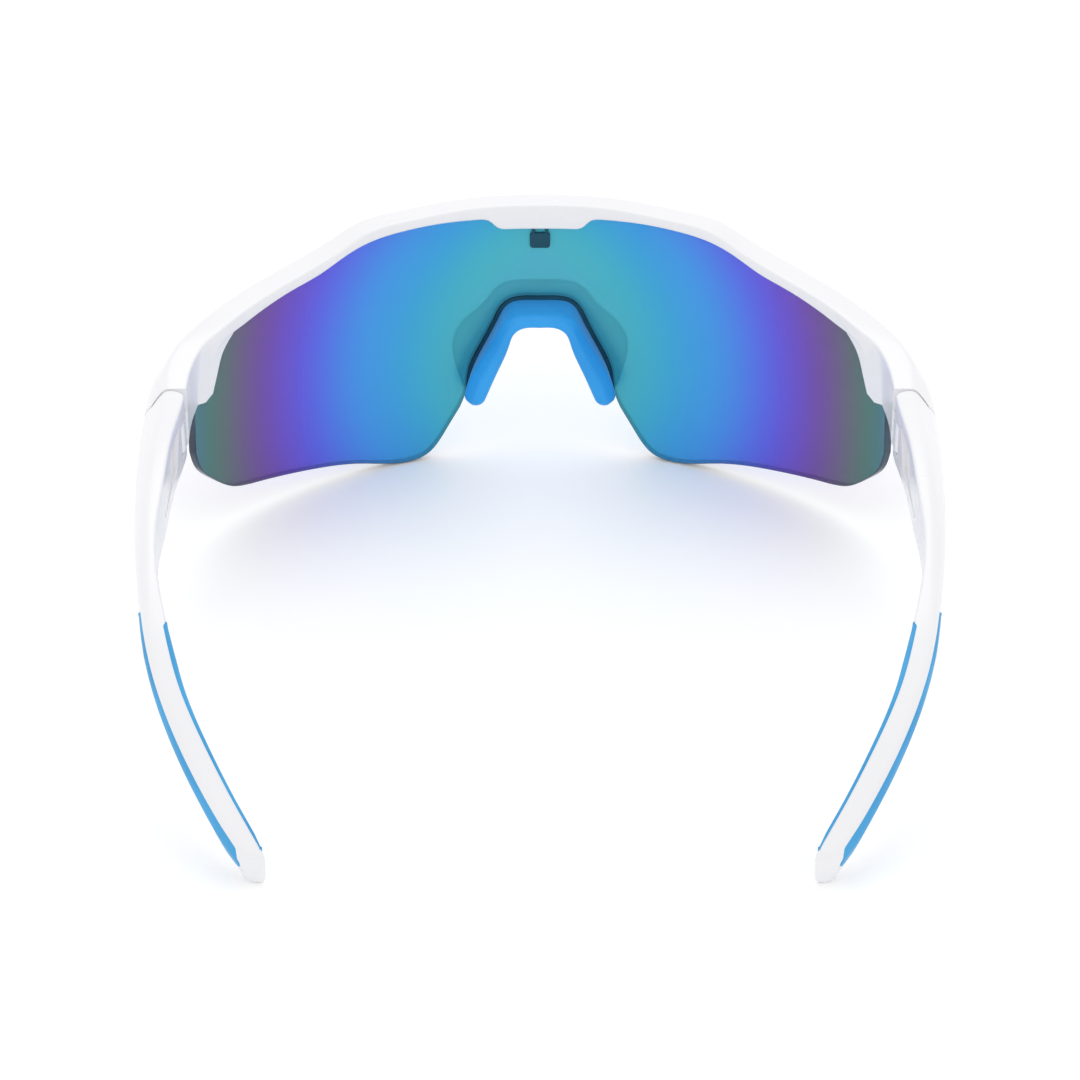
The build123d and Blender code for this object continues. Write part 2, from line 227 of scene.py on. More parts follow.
def rounded(corners, radii, steps=4):
    """A closed section with its corners rounded, always with the same number of points."""
    points = []
    count = len(corners)
    for i, corner in enumerate(corners):
        before = corners[i - 1] - corner
        after = corners[(i + 1) % count] - corner
        start = corner + before * min(0.48, radii[i] / np.linalg.norm(before))
        end = corner + after * min(0.48, radii[i] / np.linalg.norm(after))
        for t in np.linspace(0, 1, steps + 1):
            points.append((1 - t) ** 2 * start + 2 * t * (1 - t) * corner + t**2 * end)
    return np.array(points)


def end_sections(section, neighbour, radius, steps=6):
    """Sections that round a loft's end off, going outward from the last full one."""
    middle = section.mean(axis=0)
    outward = middle - neighbour.mean(axis=0)
    outward = outward / np.linalg.norm(outward)
    spokes = section - middle
    axes = np.linalg.svd(spokes, full_matrices=False)[2]
    spread = spokes @ axes.T
    reach = np.maximum(np.abs(spread).max(axis=0), 1e-6)
    sections = []
    for turn in np.linspace(0, pi / 2, steps + 1)[1:]:
        share = np.maximum(0.05, 1 - radius * (1 - cos(turn)) / reach)
        sections.append(middle + (spread * share) @ axes + outward * radius * sin(turn))
    return sections


def loft(name, sections, start_radius=0, end_radius=0):
    """A closed solid through sections of equally many points, with its ends rounded off."""
    sections = [np.asarray(section) for section in sections]
    first = end_sections(sections[0], sections[1], start_radius) if start_radius else []
    last = end_sections(sections[-1], sections[-2], end_radius) if end_radius else []
    sections = first[::-1] + sections + last
    count = len(sections[0])
    rows = [list(range(i * count, (i + 1) * count)) for i in range(len(sections))]
    faces = strip(rows) + [tuple(rows[0][::-1]), tuple(rows[-1])]
    piece = new_mesh(name, np.concatenate(sections), faces)
    recalculate(piece)
    return piece


def prism(name, corners, place):
    """A straight solid: place(corner, 0) gives its low end and place(corner, 1) its high."""
    points = [place(corner, end) for end in (0, 1) for corner in corners]
    count = len(corners)
    faces = strip([list(range(count)), list(range(count, 2 * count))])
    faces += [tuple(range(count))[::-1], tuple(range(count, 2 * count))]
    tool = new_mesh(name, points, faces)
    recalculate(tool)
    return tool


def upright(name, corners, low, high):
    return prism(name, corners, lambda p, end: (p[0], p[1], high if end else low))


def circle(x, y, radius, steps=48):
    turns = np.linspace(0, 2 * pi, steps, endpoint=False)
    return [(x + radius * cos(turn), y + radius * sin(turn)) for turn in turns]


def plate(name, low, high, rows, inner, outer, edge):
    """A plate on the lens cylinder between two (mm, height) outlines, its rim rounded.

    low and high have equally many points; rows of points join them. inner and outer are
    the plate's radii, and edge is the radius of its rounded rim.
    """
    count = len(low)
    shares = np.linspace(0, 1, rows)
    grid = low[None] + shares[:, None, None] * (high - low)[None]
    loop = [(0, i) for i in range(count)] + [(j, count - 1) for j in range(1, rows)]
    loop += [(rows - 1, i) for i in range(count - 2, -1, -1)]
    loop += [(j, 0) for j in range(rows - 2, 0, -1)]
    border = np.array([grid[place] for place in loop])
    along = np.roll(border, -1, axis=0) - np.roll(border, 1, axis=0)
    along /= np.linalg.norm(along, axis=1)[:, None]
    inside = np.stack([-along[:, 1], along[:, 0]], axis=1)

    def inset(distance):
        return border + distance * inside

    skin = grid.copy()
    for place, point in zip(loop, inset(edge)):
        skin[place] = point
    for i in range(count):
        skin[:, i] = skin[0, i] + shares[:, None] * (skin[-1, i] - skin[0, i])

    def lay(points, radius):
        points = in_degrees(points.reshape(-1, 2))
        return on_lens(points[:, 0], points[:, 1], radius)

    points = [lay(skin, outer), lay(skin, inner)]
    size = rows * count
    faces = []
    for base in (0, size):
        for j in range(rows - 1):
            for i in range(count - 1):
                at = base + j * count + i
                faces.append((at, at + 1, at + count + 1, at + count))
    rings = [[j * count + i for j, i in loop]]
    turns = [pi / 8, pi / 4, 3 * pi / 8, pi / 2]
    levels = [(edge * (1 - sin(turn)), outer - edge * (1 - cos(turn))) for turn in turns]
    levels += [(gap, inner + outer - radius) for gap, radius in reversed(levels)]
    start = 2 * size
    for gap, radius in levels:
        points.append(lay(inset(gap), radius))
        rings.append(list(range(start, start + len(loop))))
        start += len(loop)
    rings.append([size + j * count + i for j, i in loop])
    faces += strip(rings)
    piece = new_mesh(name, np.concatenate(points), faces)
    recalculate(piece)
    return piece


# ---------------------------------------------------------------- materials
def new_material(name):
    material = bpy.data.materials.new(name)
    material.use_nodes = True
    tree = material.node_tree
    return material, tree.nodes, tree.links, tree.nodes["Principled BSDF"]


def grain(nodes, links, shader, scale, strength, distance):
    """Fine moulded texture on a shader's normal. scale is in grains per metre."""
    place = nodes.new("ShaderNodeTexCoord")
    noise = nodes.new("ShaderNodeTexNoise")
    noise.inputs["Scale"].default_value = scale
    noise.inputs["Detail"].default_value = 4
    bump = nodes.new("ShaderNodeBump")
    bump.inputs["Strength"].default_value = strength
    bump.inputs["Distance"].default_value = distance
    links.new(place.outputs["Object"], noise.inputs["Vector"])
    links.new(noise.outputs["Fac"], bump.inputs["Height"])
    links.new(bump.outputs["Normal"], shader.inputs["Normal"])
    return place


def vary(nodes, links, place, socket, scale, low, high):
    """A socket that changes slowly over the surface between two values."""
    noise = nodes.new("ShaderNodeTexNoise")
    noise.inputs["Scale"].default_value = scale
    span = nodes.new("ShaderNodeMapRange")
    span.inputs["From Min"].default_value = 0.3
    span.inputs["From Max"].default_value = 0.7
    span.inputs["To Min"].default_value = low
    span.inputs["To Max"].default_value = high
    links.new(place.outputs["Object"], noise.inputs["Vector"])
    links.new(noise.outputs["Fac"], span.inputs["Value"])
    links.new(span.outputs["Result"], socket)


def tone(nodes, links, place, socket, scale, low, high):
    """A colour that drifts slowly between two shades."""
    noise = nodes.new("ShaderNodeTexNoise")
    noise.inputs["Scale"].default_value = scale
    ramp = nodes.new("ShaderNodeValToRGB")
    ramp.color_ramp.elements[0].position = 0.35
    ramp.color_ramp.elements[0].color = (*low, 1)
    ramp.color_ramp.elements[1].position = 0.65
    ramp.color_ramp.elements[1].color = (*high, 1)
    links.new(place.outputs["Object"], noise.inputs["Vector"])
    links.new(noise.outputs["Fac"], ramp.inputs["Fac"])
    links.new(ramp.outputs["Color"], socket)


def white_plastic():
    """Smooth moulded plastic with a slight gloss."""
    material, nodes, links, shader = new_material("white_plastic")
    place = grain(nodes, links, shader, 9000, 0.015, 0.000003)
    tone(nodes, links, place, shader.inputs["Base Color"], 25,
         (0.85, 0.85, 0.875), (0.87, 0.87, 0.89))
    vary(nodes, links, place, shader.inputs["Roughness"], 60, 0.26, 0.32)
    shader.inputs["Coat Weight"].default_value = 0.3
    shader.inputs["Coat Roughness"].default_value = 0.12
    return material


def blue_rubber():
    """The nose pad's bright soft rubber."""
    material, nodes, links, shader = new_material("blue_rubber")
    place = grain(nodes, links, shader, 6000, 0.1, 0.00001)
    tone(nodes, links, place, shader.inputs["Base Color"], 90,
         (0.008, 0.32, 0.80), (0.012, 0.36, 0.86))
    vary(nodes, links, place, shader.inputs["Roughness"], 400, 0.42, 0.58)
    shader.inputs["Sheen Weight"].default_value = 0.15
    return material


def grip_rubber():
    """The temple strips' rubber, a little duller than the nose pad's."""
    material, nodes, links, shader = new_material("grip_rubber")
    place = grain(nodes, links, shader, 6000, 0.1, 0.00001)
    tone(nodes, links, place, shader.inputs["Base Color"], 70,
         (0.03, 0.31, 0.64), (0.05, 0.37, 0.72))
    vary(nodes, links, place, shader.inputs["Roughness"], 400, 0.45, 0.6)
    shader.inputs["Sheen Weight"].default_value = 0.15
    return material


def smoky_carrier():
    """Dark plastic that lets some light through."""
    material, nodes, links, shader = new_material("smoky_carrier")
    place = grain(nodes, links, shader, 7000, 0.05, 0.00001)
    tone(nodes, links, place, shader.inputs["Base Color"], 80,
         (0.03, 0.10, 0.12), (0.05, 0.13, 0.15))
    vary(nodes, links, place, shader.inputs["Roughness"], 300, 0.3, 0.4)
    clear = nodes.new("ShaderNodeBsdfTransparent")
    clear.inputs["Color"].default_value = (0.70, 0.90, 0.87, 1)
    mix = nodes.new("ShaderNodeMixShader")
    mix.inputs[0].default_value = 0.25
    links.new(clear.outputs[0], mix.inputs[1])
    links.new(shader.outputs[0], mix.inputs[2])
    links.new(mix.outputs[0], nodes["Material Output"].inputs["Surface"])
    return material


def smoked_plastic():
    """Dark blue-grey plastic with little shine."""
    material, nodes, links, shader = new_material("smoked_plastic")
    place = grain(nodes, links, shader, 8000, 0.1, 0.00002)
    tone(nodes, links, place, shader.inputs["Base Color"], 200,
         (0.008, 0.065, 0.105), (0.012, 0.08, 0.125))
    vary(nodes, links, place, shader.inputs["Roughness"], 500, 0.4, 0.5)
    shader.inputs["Specular IOR Level"].default_value = 0.2
    return material


def turned_metal(name, low, high):
    """Machined metal, a little uneven in colour and shine."""
    material, nodes, links, shader = new_material(name)
    place = grain(nodes, links, shader, 12000, 0.15, 0.00001)
    tone(nodes, links, place, shader.inputs["Base Color"], 900, low, high)
    vary(nodes, links, place, shader.inputs["Roughness"], 1500, 0.22, 0.4)
    shader.inputs["Metallic"].default_value = 1.0
    return material


LENS_HALF_WIDTH = 0.068  # metres
# Colour bands from the middle outward: (share of the half width, colour). They are partly the
# coating's own colour and partly a painted reflection, the colour shift of the viewing angle
# painted by position
LENS_TINTS_AND_PAINTED_REFLECTION = [
    (0.00, (0.090, 0.50, 0.60)),
    (0.16, (0.090, 0.50, 0.65)),
    (0.26, (0.075, 0.52, 0.60)),
    (0.34, (0.055, 0.48, 0.68)),
    (0.42, (0.050, 0.42, 0.76)),
    (0.52, (0.065, 0.37, 0.84)),
    (0.60, (0.095, 0.25, 0.84)),
    (0.68, (0.145, 0.13, 0.82)),
    (0.75, (0.195, 0.10, 0.60)),
    (0.80, (0.210, 0.10, 0.44)),
    (0.85, (0.200, 0.14, 0.30)),
    (0.90, (0.150, 0.22, 0.20)),
    (0.95, (0.080, 0.26, 0.22)),
    (1.00, (0.130, 0.24, 0.46)),
]
BAND_HEIGHT = 0.020  # metres; the colour bands are farthest from the middle here
BAND_CURVE = 22.0  # per metre; how strongly the bands near the middle bow above and below


def maths(nodes, links, operation, first, second):
    """A maths node fed by a socket and either a number or another socket."""
    node = nodes.new("ShaderNodeMath")
    node.operation = operation
    links.new(first, node.inputs[0])
    if isinstance(second, float):
        node.inputs[1].default_value = second
    else:
        links.new(second, node.inputs[1])
    return node.outputs[0]


def band_share(nodes, links):
    """How far out through the lens's colour bands a point lies, from 0 to 1."""
    place = nodes.new("ShaderNodeTexCoord")
    split = nodes.new("ShaderNodeSeparateXYZ")
    links.new(place.outputs["Object"], split.inputs[0])
    side = maths(nodes, links, "MULTIPLY", split.outputs["X"], split.outputs["X"])
    side = maths(nodes, links, "POWER", side, 0.5)
    rise = maths(nodes, links, "SUBTRACT", split.outputs["Z"], BAND_HEIGHT)
    bow = maths(nodes, links, "MULTIPLY", rise, rise)
    bow = maths(nodes, links, "MULTIPLY", bow, BAND_CURVE)
    inward = maths(nodes, links, "MULTIPLY", side, -1 / LENS_HALF_WIDTH)
    inward = maths(nodes, links, "ADD", inward, 1.0)
    bow = maths(nodes, links, "MULTIPLY", bow, inward)
    reach = maths(nodes, links, "ADD", side, bow)
    return maths(nodes, links, "DIVIDE", reach, LENS_HALF_WIDTH)


def mirror_lens():
    """A tinted lens whose mirror coating turns from teal through blue to violet; the bands are
    partly the coating's own colour and partly a painted reflection, the shift with viewing angle
    painted by position.
    """
    material, nodes, links, shader = new_material("mirror_lens")
    ramp = nodes.new("ShaderNodeValToRGB")
    ramp.color_ramp.interpolation = "B_SPLINE"
    stops = ramp.color_ramp.elements
    for number, (at, colour) in enumerate(LENS_TINTS_AND_PAINTED_REFLECTION):
        stop = stops[number] if number < 2 else stops.new(at)
        stop.position = at
        stop.color = (*colour, 1)
    links.new(band_share(nodes, links), ramp.inputs["Fac"])
    lighter = nodes.new("ShaderNodeGamma")
    lighter.inputs["Gamma"].default_value = 0.5
    clear = nodes.new("ShaderNodeBsdfTransparent")
    mix = nodes.new("ShaderNodeMixShader")
    mix.inputs[0].default_value = 0.5
    # painted reflection: the ramp lays the coating's angle-dependent colour shift over the lens
    # by position, along with its own colour
    links.new(ramp.outputs["Color"], shader.inputs["Base Color"])
    links.new(ramp.outputs["Color"], lighter.inputs["Color"])
    links.new(lighter.outputs["Color"], clear.inputs["Color"])
    shader.inputs["Roughness"].default_value = 0.25
    shader.inputs["Metallic"].default_value = 0.3
    shader.inputs["Coat Weight"].default_value = 0.3
    shader.inputs["Coat Roughness"].default_value = 0.05
    links.new(clear.outputs[0], mix.inputs[1])
    links.new(shader.outputs[0], mix.inputs[2])
    links.new(mix.outputs[0], nodes["Material Output"].inputs["Surface"])
    return material


def lens_edge():
    """The dark cut edge of the lens."""
    material, nodes, links, shader = new_material("lens_edge")
    place = grain(nodes, links, shader, 5000, 0.05, 0.00002)
    tone(nodes, links, place, shader.inputs["Base Color"], 120,
         (0.02, 0.035, 0.06), (0.035, 0.07, 0.11))
    vary(nodes, links, place, shader.inputs["Roughness"], 300, 0.12, 0.2)
    return material


FINISHES = {
    "frame": white_plastic(),
    "lens": mirror_lens(),
    "edge": lens_edge(),
    "clip": smoked_plastic(),
    "carrier": smoky_carrier(),
    "pad": blue_rubber(),
    "grip": grip_rubber(),
    "screw": turned_metal("screw_steel", (0.55, 0.55, 0.57), (0.68, 0.68, 0.70)),
    "insert": turned_metal("insert_brass", (0.60, 0.42, 0.18), (0.75, 0.56, 0.27)),
}


def place_piece(piece, finish, body, *nodes):
    """Gives a finished piece its material and body, and hides the CAD nodes it stands for."""
    piece.data.materials.clear()
    piece.data.materials.append(FINISHES[finish])
    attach(piece, body)
    if nodes:
        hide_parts(*nodes)


def finish_node(node, finish, bevel=0):
    """A carried-over CAD node gets its material and, if asked, softened edges."""
    cad_object = bpy.data.objects[node]
    cad_object.data.materials.clear()
    cad_object.data.materials.append(FINISHES[finish])
    if bevel:
        softener = cad_object.modifiers.new("edges", "BEVEL")
        softener.width = bevel * MM
        softener.segments = 2
        softener.limit_method = "ANGLE"
        softener.harden_normals = True


# ---------------------------------------------------------------- lens
# Outlines on the lens cylinder: (degrees round from the middle, height)
LENS_TOP = [(0, 50.8), (10, 50.7), (20, 49.6), (26, 48.1), (29.2, 46.3), (32.5, 44.5),
            (39, 42.1), (46, 39.6)]
LENS_SHOULDER = [(46, 39.6), (58, 34.0)]
LENS_CORNER = [(46, 2.6), (49.7, 3.7), (53.5, 7.0), (56.5, 10.9), (57.5, 14.5)]
LENS_LOWER = [(11.8, 9.3), (13.9, 4.6), (16.8, -0.2), (20.6, -1.35), (27, 0.0), (36, 1.4),
              (46, 2.6)]
NOTCH_SIDE = [(6.1, 29.7), (8.1, 24.1), (10.4, 17.4), (10.9, 12.5), (11.8, 9.3)]
NOTCH_TOP = [(0, 32.5), (3.3, 32.4), (5.1, 31.4), (6.1, 29.7)]
LENS_EDGE = 0.3  # radius of the rounded rim
LENS_STEP = 0.7  # between the points of the outline
LENS_ROWS = 40


def make_lens():
    """The one-piece lens; its lower outline has as many points as its upper one."""
    below = (NOTCH_TOP, NOTCH_SIDE, LENS_LOWER, LENS_CORNER)
    low = outline([in_mm(part) for part in below], LENS_STEP)
    low[:, 0] = np.maximum.accumulate(low[:, 0] + 1e-6 * np.arange(len(low)))
    top = outline([in_mm(part) for part in (LENS_TOP, LENS_SHOULDER)], LENS_STEP)
    high = np.stack([low[:, 0], np.interp(low[:, 0], top[:, 0], top[:, 1])], axis=1)
    lens = plate("shield_lens", across(low), across(high), LENS_ROWS,
                 LENS_RADIUS - LENS_THICK, LENS_RADIUS, LENS_EDGE)
    smooth(lens)
    place_piece(lens, "lens", "front", "lens")
    lens.data.materials.append(FINISHES["edge"])
    middle = LENS_RADIUS - LENS_THICK / 2
    for face in lens.data.polygons:
        if abs(axis_distance(face) - middle) < LENS_THICK / 2 - 0.02:
            face.material_index = 1


make_lens()

# ---------------------------------------------------------------- frame
BROW_TOP = [(0, 52.7), (10, 52.4), (20, 51.0), (26.2, 49.6), (29.2, 47.7), (32.5, 45.9),
            (39, 43.3), (48, 40.3), (56, 37.2)]
TAB_UNDER = [(0, 47.3), (5.2, 47.3)]
TAB_RAMP = [(5.2, 47.3), (6.1, 47.6), (7.5, 49.2), (8.6, 49.5)]
BROW_UNDER = [(8.6, 49.5), (14, 49.3), (20.4, 48.5), (26, 47.1), (30, 45.0), (33.6, 42.8),
              (38, 41.1), (44.7, 38.5), (47.5, 37.3)]
BROW_STEP = 0.8
BROW_TOP_STEP = 0.5
BROW_BULGE = 0.55  # share of the bar's height where its front stands farthest out
FOOT_SETBACK = 0.3  # the front face leans back by these, under and over its bulge
TOP_SETBACK = 0.4
RIDGE_SETBACK = 0.05  # the rear top edge is this far forward of the rear bottom edge
RIDGE_DROP = 0.4  # and this far below the front top edge
JOIN_AT = 53.0  # degrees; between the bar and the end block
JOIN_UNDER = 34.3
TURN_SECTIONS = 44
BAR_RADII = (0.45, 0.45, 1.6, 0.9, 0.5)
BLOCK_RADII = (2.2, 0.9, 1.6, 0.9, 0.6)
# Sections of the end block: (y, inner x, top outer x, belly x, top z, bottom z)
END_BLOCK = [(-35.2, 64.6, 69.8, 71.8, 41.0, 30.2),
             (-29.2, 66.0, 70.6, 73.8, 39.8, 27.9),
             (-23.0, 66.4, 70.4, 74.5, 38.6, 25.3),
             (-19.9, 66.6, 70.3, 74.5, 38.4, 25.2)]
BELLY_SHARE = 0.3  # of the section's height, down from its top
FOOT_INSET = 1.6  # the outer-bottom corner lies this far in from the belly
CLAW_LOW = [[(49.5, 36.1), (51.9, 32.8), (53.0, 29.5), (54.2, 25.6)],
            [(54.2, 25.6), (55.9, 24.5)],
            [(55.9, 24.5), (60.5, 25.4)]]
CLAW_HIGH = [[(49.5, 37.6), (56, 35.4), (60.5, 33.4)]]
CLAW_STEP = 0.5
CLAW_ROWS = 24
CLAW_BACK = 3.1
CLAW_FRONT = 2.2
CLAW_EDGE = 0.45


def block_corners(y, inner, outer, belly, top, bottom):
    """One section across y: inner-bottom, outer-bottom, belly, outer-top, inner-top."""
    belly_z = top - BELLY_SHARE * (top - bottom)
    return np.array([(inner, y, bottom), (belly - FOOT_INSET, y, bottom), (belly, y, belly_z),
                     (outer, y, top), (inner, y, top)])


def brow_corners(angle, bottom, top):
    """One section of the bar: rear-bottom, front-bottom, front, front-top, ridge."""
    back = LENS_RADIUS - BROW_BACK
    front = LENS_RADIUS + BROW_FRONT
    radii = [back, front - FOOT_SETBACK, front, front - TOP_SETBACK, back + RIDGE_SETBACK]
    bulge = bottom + BROW_BULGE * (top - bottom)
    heights = [bottom, bottom, bulge, top, top - RIDGE_DROP]
    return on_lens(np.full(5, angle), np.array(heights), np.array(radii))


def end_turn(brow, top):
    """Sections that carry the bar round into its end block.

    The curve starts well back in the bar, so that it leaves the bar smoothly.
    """
    leads = [brow[-11], brow[-6], brow[-1]]
    join_top = np.interp(radians(JOIN_AT) * LENS_RADIUS, top[:, 0], top[:, 1])
    joining = [brow_corners(JOIN_AT, JOIN_UNDER, join_top)]
    stations = leads + joining + [block_corners(*sizes) for sizes in END_BLOCK]
    flat = np.array([station.reshape(-1) for station in stations])
    steps = np.linalg.norm(np.diff(flat, axis=0), axis=1)
    start = steps[:2].sum() / steps.sum()
    return spline(flat, np.linspace(start, 1, TURN_SECTIONS))[1:].reshape(-1, 5, 3)


def make_bar():
    """The brow bar and its two end blocks in one loft, from end to end."""
    top = outline([in_mm(BROW_TOP)], BROW_TOP_STEP)
    low = outline([in_mm(part) for part in (TAB_UNDER, TAB_RAMP, BROW_UNDER)], BROW_STEP)
    angles = np.degrees(low[:, 0] / LENS_RADIUS)
    tops = np.interp(low[:, 0], top[:, 0], top[:, 1])
    brow = [brow_corners(angle, bottom, ridge)
            for angle, bottom, ridge in zip(angles, low[:, 1], tops)]
    turn = end_turn(brow, top)
    changes = np.concatenate([np.zeros(len(brow)), np.linspace(0, 1, len(turn))])[:, None]
    radii = (1 - changes) * np.array(BAR_RADII) + changes * np.array(BLOCK_RADII)
    half = [rounded(corners, edges) for corners, edges in zip(brow + list(turn), radii)]
    flip = np.array([-1, 1, 1])
    return loft("half_frame", [section * flip for section in half[:0:-1]] + half)


def make_claw(sign):
    """The jaw that holds one outer end of the lens."""
    low = outline([in_mm(part) for part in CLAW_LOW], CLAW_STEP)
    edge = outline([in_mm(part) for part in CLAW_HIGH], CLAW_STEP)
    high = np.stack([low[:, 0], np.interp(low[:, 0], edge[:, 0], edge[:, 1])], axis=1)
    order = slice(None, None, sign)
    return plate("claw", (low * [sign, 1])[order], (high * [sign, 1])[order], CLAW_ROWS,
                 LENS_RADIUS - CLAW_BACK, LENS_RADIUS + CLAW_FRONT, CLAW_EDGE)


def fit_hinge(bar, sign):
    """Cuts the bar's end to the temple's barrel and adds the drilled hinge tongue."""
    x = sign * HINGE_X
    wide = sign * CUT_WIDE
    reach = BARREL_RADIUS + SEAT_GAP
    combine(bar, upright("seat", circle(x, HINGE_Y, reach), 0, CUT_HIGH), "DIFFERENCE")
    outboard = [(x, FRAME_END_Y), (x + wide, FRAME_END_Y), (x + wide, 0), (x, 0)]
    combine(bar, upright("end", outboard, 0, CUT_HIGH), "DIFFERENCE")
    front = HINGE_Y - reach
    near = x + sign * STEP_LAP
    inboard = [(near, front), (near, 0), (x - wide, 0), (x - wide, front)]
    combine(bar, upright("step", inboard, 0, CUT_HIGH), "DIFFERENCE")
    tongue = [(x + TONGUE_RADIUS * cos(turn), HINGE_Y + TONGUE_RADIUS * sin(turn))
              for turn in np.linspace(0, pi, 25)]
    root = HINGE_Y - TONGUE_ROOT
    tongue += [(x - TONGUE_RADIUS, root), (x + TONGUE_RADIUS, root)]
    combine(bar, upright("tongue", tongue, TONGUE_LOW, TONGUE_HIGH), "UNION")
    hole = circle(x, HINGE_Y, SCREW_HOLE)
    combine(bar, upright("hole", hole, TONGUE_LOW - 1, TONGUE_HIGH + 1), "DIFFERENCE")


def make_frame():
    bar = make_bar()
    for sign in SIDES.values():
        combine(bar, make_claw(sign), "UNION")
    for sign in SIDES.values():
        fit_hinge(bar, sign)
    smooth(bar)
    place_piece(bar, "frame", "front", "frame")


make_frame()

# ---------------------------------------------------------------- lens clip
CLIP_THICK = 1.0
CLIP_HALF_WIDTH = 2.05
CLIP_CORNER = 0.6
CLIP_LOW, CLIP_HIGH = 43.1, 46.2
PRONG_TOP = 49.0
PRONG_WIDTH = 0.7
PRONG_X = 1.35
CLIP_EDGE = 0.15
PRONG_SETBACK = 0.1


def clip_edge(height, toward_middle):
    """One level edge of the clip's body with a rounded corner at its end."""
    bend = [(CLIP_HALF_WIDTH - CLIP_CORNER * (1 - sin(turn)),
             height + toward_middle * CLIP_CORNER * (1 - cos(turn)))
            for turn in np.linspace(0, pi / 2, 7)]
    return across([(0, height), *bend])


def make_clip():
    """A small plate on the lens's inner face, with two prongs up under the brow tab."""
    outer = LENS_RADIUS - LENS_THICK
    inner = outer - CLIP_THICK
    clip = plate("clip_body", clip_edge(CLIP_LOW, 1), clip_edge(CLIP_HIGH, -1), 6,
                 inner, outer, CLIP_EDGE)
    for sign in SIDES.values():
        middle = sign * PRONG_X
        places = [middle - PRONG_WIDTH / 2, middle, middle + PRONG_WIDTH / 2]
        low, high = (np.array([(place, height) for place in places])
                     for height in (CLIP_HIGH - CLIP_CORNER, PRONG_TOP))
        prong = plate("prong", low, high, 4, inner + PRONG_SETBACK, outer, CLIP_EDGE)
        combine(clip, prong, "UNION")
    smooth(clip)
    place_piece(clip, "clip", "front", "lens_clip")


make_clip()

# ---------------------------------------------------------------- nose carrier and pad
FLANGE = [[(0, 34.8), (3.2, 34.7), (4.9, 34.3), (6.1, 33.3), (7.5, 30.7), (10.5, 27.1),
           (12.0, 23.9), (12.2, 20.4), (11.6, 16.9), (10.8, 13.2)]]
RIM = [[(0, 32.0), (3.1, 31.9), (4.6, 31.0), (5.7, 29.4)],
       [(5.7, 29.4), (7.75, 23.9), (10.0, 17.2), (10.4, 13.2)]]
NOTCH = [[(0, 32.45), (3.3, 32.35), (5.05, 31.35), (6.05, 29.7)],
         [(6.05, 29.7), (8.05, 24.1), (10.35, 17.4), (10.8, 13.2)]]
FLANGE_THICK = 1.0
FLANGE_GAP = 0.02  # between the flange and the lens
FLANGE_EDGE = 0.35
LINING_DEPTH = 2.9
LINING_SETBACK = 0.05
LINING_EDGE = 0.12
ARCH_STEP = 0.3
ARCH_POINTS = 60  # in each half


def resample(points, count, spare=0):
    """The same outline with this many evenly spaced points, less the spare end."""
    steps = np.linalg.norm(np.diff(points, axis=0), axis=1)
    along = np.concatenate([[0], np.cumsum(steps)])
    places = np.linspace(0, along[-1] - spare, count)
    return np.stack([np.interp(places, along, points[:, k]) for k in (0, 1)], axis=1)


def arch(stretches):
    """Both halves of an outline round the nose, evenly spaced."""
    points = outline([in_mm(part) for part in stretches], ARCH_STEP)
    return across(resample(points, ARCH_POINTS))


def make_carrier():
    """The flange on the lens's front, with a lining through the notch in a darker finish."""
    rim, notch, flange = arch(RIM), arch(NOTCH), arch(FLANGE)
    front = LENS_RADIUS + FLANGE_THICK
    carrier = plate("nose_piece_carrier", flange, rim, 10,
                    LENS_RADIUS + FLANGE_GAP, front, FLANGE_EDGE)
    lining = plate("lining", notch, rim, 4,
                   front - LINING_DEPTH, front - LINING_SETBACK, LINING_EDGE)
    combine(carrier, lining, "UNION")
    smooth(carrier)
    place_piece(carrier, "carrier", "front", "nose_carrier")
    carrier.data.materials.append(FINISHES["clip"])
    for face in carrier.data.polygons:
        if axis_distance(face) < LENS_RADIUS:
            face.material_index = 1


make_carrier()

PAD_FRONT = 79.6  # distances of the pad's front and back from the lens's axis
PAD_BACK = 69.5
# The pad's outlines there: (sideways, height)
PAD_FRONT_OUTER = [(0, 31.9), (3.7, 31.9), (5.8, 31.5), (7.2, 30.2), (8.1, 28.4), (10.6, 23.4),
                   (13.4, 17.0), (14.1, 14.0)]
PAD_FRONT_INNER = [(0, 29.6), (3.0, 29.3), (4.6, 28.2), (5.6, 26.2), (8.0, 20.6), (10.0, 15.9),
                   (10.9, 13.6)]
PAD_BACK_OUTER = [(0, 31.4), (4.4, 31.2), (6.7, 30.1), (8.6, 27.4), (11.8, 21.6), (14.5, 16.2),
                  (15.1, 13.8)]
PAD_BACK_INNER = [(0, 29.0), (3.6, 28.7), (5.2, 27.4), (6.1, 25.0), (8.3, 19.6), (10.0, 15.6),
                  (11.0, 13.2)]
PAD_FOOT = 1.9  # radius of the rounded feet
PAD_CREASE = 0.45  # share of the rear face's width from its outer edge to its crease
PAD_SLOPE = 1.8  # the rear face falls away this much from the crease to its outer edge
PAD_RADII = (0.6, 0.9, 1.3, 0.7, 0.8)
PAD_STEP = 0.2
PAD_POINTS = 46  # in each half


def pad_rail(points, distance):
    """One edge of the pad in space, from foot to foot."""
    curve = across(resample(stretch(points, PAD_STEP), PAD_POINTS, PAD_FOOT / 3))
    facing = CENTRE - INWARD * distance
    side = np.array([1.0, 0, 0])
    return facing + curve[:, :1] * side + curve[:, 1:] * AXIS


